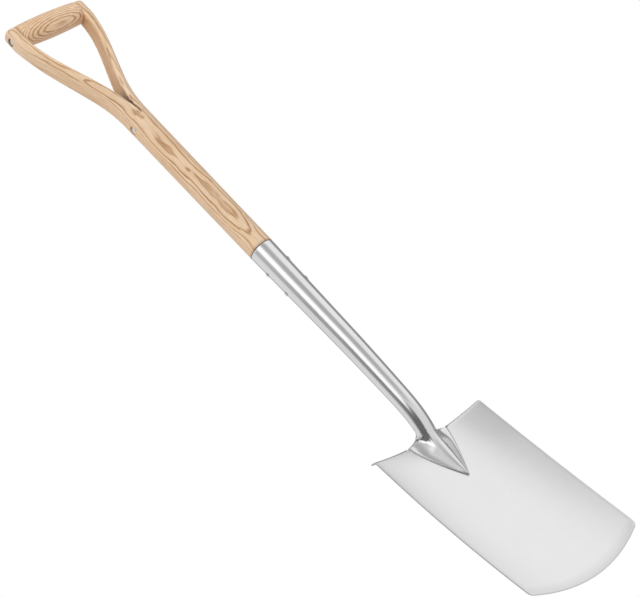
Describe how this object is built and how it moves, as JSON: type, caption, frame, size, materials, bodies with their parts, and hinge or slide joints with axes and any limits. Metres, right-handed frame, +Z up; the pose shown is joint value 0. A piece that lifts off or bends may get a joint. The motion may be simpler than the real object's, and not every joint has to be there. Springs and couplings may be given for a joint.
{
  "type": "garden spade",
  "caption": "Garden digging spade with a split ash wishbone handle, a riveted tapered steel socket and a dished stainless steel blade with folded foot treads",
  "frame": {"origin": "the point under the middle of the crossbar where a hook carries the spade", "axes": "+X to the right across the blade, -Y out of the hollow face of the blade, +Z up along the straight shaft"},
  "size_m": [0.1878, 0.0745, 1.0902],
  "materials": {
    "ash": "clear satin lacquer over straight grained ash",
    "ash_bar": "clear satin lacquer over turned ash",
    "rivet_steel": "plain steel",
    "washer_steel": "plain steel",
    "socket_steel": "polished stainless steel",
    "blade_steel": "satin polished stainless steel",
    "weld_steel": "ground weld"
  },
  "bodies": {
    "root": {"shaft": "ash", "crossbar_grip": "ash_bar", "grip_rivet": "rivet_steel", "fork_rivet": "rivet_steel", "rivet_washers": "washer_steel", "socket_neck": "socket_steel", "socket_rivets": "rivet_steel", "blade": "blade_steel", "weld_bead": "weld_steel"}
  },
  "joints": []
}
